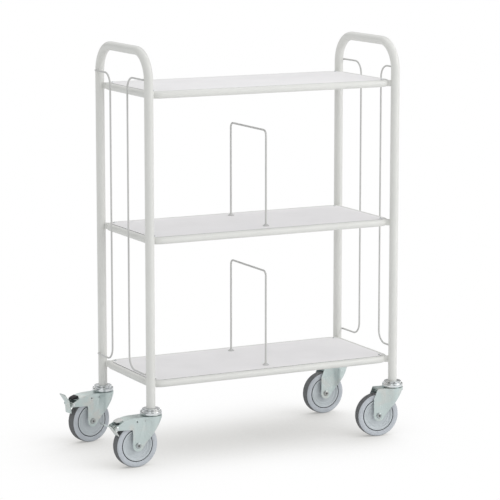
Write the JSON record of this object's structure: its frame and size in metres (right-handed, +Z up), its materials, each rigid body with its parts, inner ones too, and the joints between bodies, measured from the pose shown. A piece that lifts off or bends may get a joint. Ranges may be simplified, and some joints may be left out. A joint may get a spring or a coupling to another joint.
{
  "type": "office trolley",
  "caption": "Office trolley: tubular end frames with loop handles, flat shelves, wire guards and dividers, on swivel casters, the left ones braked.",
  "frame": {"origin": "on the floor under the middle of the trolley's whole outline as pictured, casters and brake pedals included", "axes": "+Z up, +X towards the end with the plain casters, -Y towards the front"},
  "size_m": [0.9518, 0.3906, 1.1517],
  "materials": {
    "frame_paint": "satin light grey powder coat",
    "panel_paint": "satin light grey powder coat",
    "zinc": "blue zinc plated pressed steel",
    "bright_zinc": "bright zinc plated turned steel",
    "wheel_core": "matt grey",
    "tyre": "matt grey rubber",
    "black_rubber": "matt",
    "grey_plastic": "matt"
  },
  "bodies": {
    "trolley_frame": {"bottom_divider": "frame_paint", "bottom_front_divider_foot": "grey_plastic", "bottom_rear_divider_foot": "grey_plastic", "bottom_shelf_panel": "panel_paint", "bottom_shelf_rim": "frame_paint", "front_left_stem": "bright_zinc", "front_right_stem": "bright_zinc", "left_end_frame": "frame_paint", "left_front_guard_wire": "frame_paint", "left_rear_guard_wire": "frame_paint", "middle_divider": "frame_paint", "middle_front_divider_foot": "grey_plastic", "middle_rear_divider_foot": "grey_plastic", "middle_shelf_panel": "panel_paint", "middle_shelf_rim": "frame_paint", "rear_left_stem": "bright_zinc", "rear_right_stem": "bright_zinc", "right_end_frame": "frame_paint", "right_front_guard_wire": "frame_paint", "right_rear_guard_wire": "frame_paint", "top_shelf_panel": "panel_paint", "top_shelf_rim": "frame_paint"},
    "front_left_swivel": {"front_left_axle": "bright_zinc", "front_left_brake_buffer": "black_rubber", "front_left_brake_pin": "bright_zinc", "front_left_fork": "zinc", "front_left_sleeve": "bright_zinc"},
    "front_left_wheel": {"front_left_tyre": "tyre", "front_left_wheel_core": "wheel_core"},
    "front_left_brake": {"front_left_brake_pedal": "zinc"},
    "rear_left_swivel": {"rear_left_axle": "bright_zinc", "rear_left_brake_buffer": "black_rubber", "rear_left_brake_pin": "bright_zinc", "rear_left_fork": "zinc", "rear_left_sleeve": "bright_zinc"},
    "rear_left_wheel": {"rear_left_tyre": "tyre", "rear_left_wheel_core": "wheel_core"},
    "rear_left_brake": {"rear_left_brake_pedal": "zinc"},
    "front_right_swivel": {"front_right_axle": "bright_zinc", "front_right_fork": "zinc", "front_right_sleeve": "bright_zinc"},
    "front_right_wheel": {"front_right_tyre": "tyre", "front_right_wheel_core": "wheel_core"},
    "rear_right_swivel": {"rear_right_axle": "bright_zinc", "rear_right_fork": "zinc", "rear_right_sleeve": "bright_zinc"},
    "rear_right_wheel": {"rear_right_tyre": "tyre", "rear_right_wheel_core": "wheel_core"}
  },
  "joints": [
    {"name": "front_left_swivel_turn", "type": "hinge", "parent": "trolley_frame", "child": "front_left_swivel", "pos_m": [-0.32444, -0.16501, 0.15], "axis": [0, 0, 1], "continuous": true},
    {"name": "front_left_wheel_spin", "type": "hinge", "parent": "front_left_swivel", "child": "front_left_wheel", "pos_m": [-0.37342, -0.16646, 0.0625], "axis": [-0.0297, 0.9996, 0], "continuous": true},
    {"name": "front_left_brake_press", "type": "hinge", "parent": "front_left_swivel", "child": "front_left_brake", "pos_m": [-0.43739, -0.16836, 0.1178], "axis": [0.0297, -0.9996, 0], "range_deg": [-30.5, 0]},
    {"name": "rear_left_swivel_turn", "type": "hinge", "parent": "trolley_frame", "child": "rear_left_swivel", "pos_m": [-0.32444, 0.16499, 0.15], "axis": [0, 0, 1], "continuous": true},
    {"name": "rear_left_wheel_spin", "type": "hinge", "parent": "rear_left_swivel", "child": "rear_left_wheel", "pos_m": [-0.37273, 0.15665, 0.0625], "axis": [-0.1702, 0.9854, 0], "continuous": true},
    {"name": "rear_left_brake_press", "type": "hinge", "parent": "rear_left_swivel", "child": "rear_left_brake", "pos_m": [-0.43579, 0.14576, 0.1178], "axis": [0.1702, -0.9854, 0], "range_deg": [0, 30.5]},
    {"name": "front_right_swivel_turn", "type": "hinge", "parent": "trolley_frame", "child": "front_right_swivel", "pos_m": [0.44556, -0.16501, 0.15], "axis": [0, 0, 1], "continuous": true},
    {"name": "front_right_wheel_spin", "type": "hinge", "parent": "front_right_swivel", "child": "front_right_wheel", "pos_m": [0.39702, -0.15827, 0.0625], "axis": [0.1374, 0.9905, 0], "continuous": true},
    {"name": "rear_right_swivel_turn", "type": "hinge", "parent": "trolley_frame", "child": "rear_right_swivel", "pos_m": [0.44556, 0.16499, 0.15], "axis": [0, 0, 1], "continuous": true},
    {"name": "rear_right_wheel_spin", "type": "hinge", "parent": "rear_right_swivel", "child": "rear_right_wheel", "pos_m": [0.39656, 0.16457, 0.0625], "axis": [-0.0087, 1, 0], "continuous": true}
  ]
}
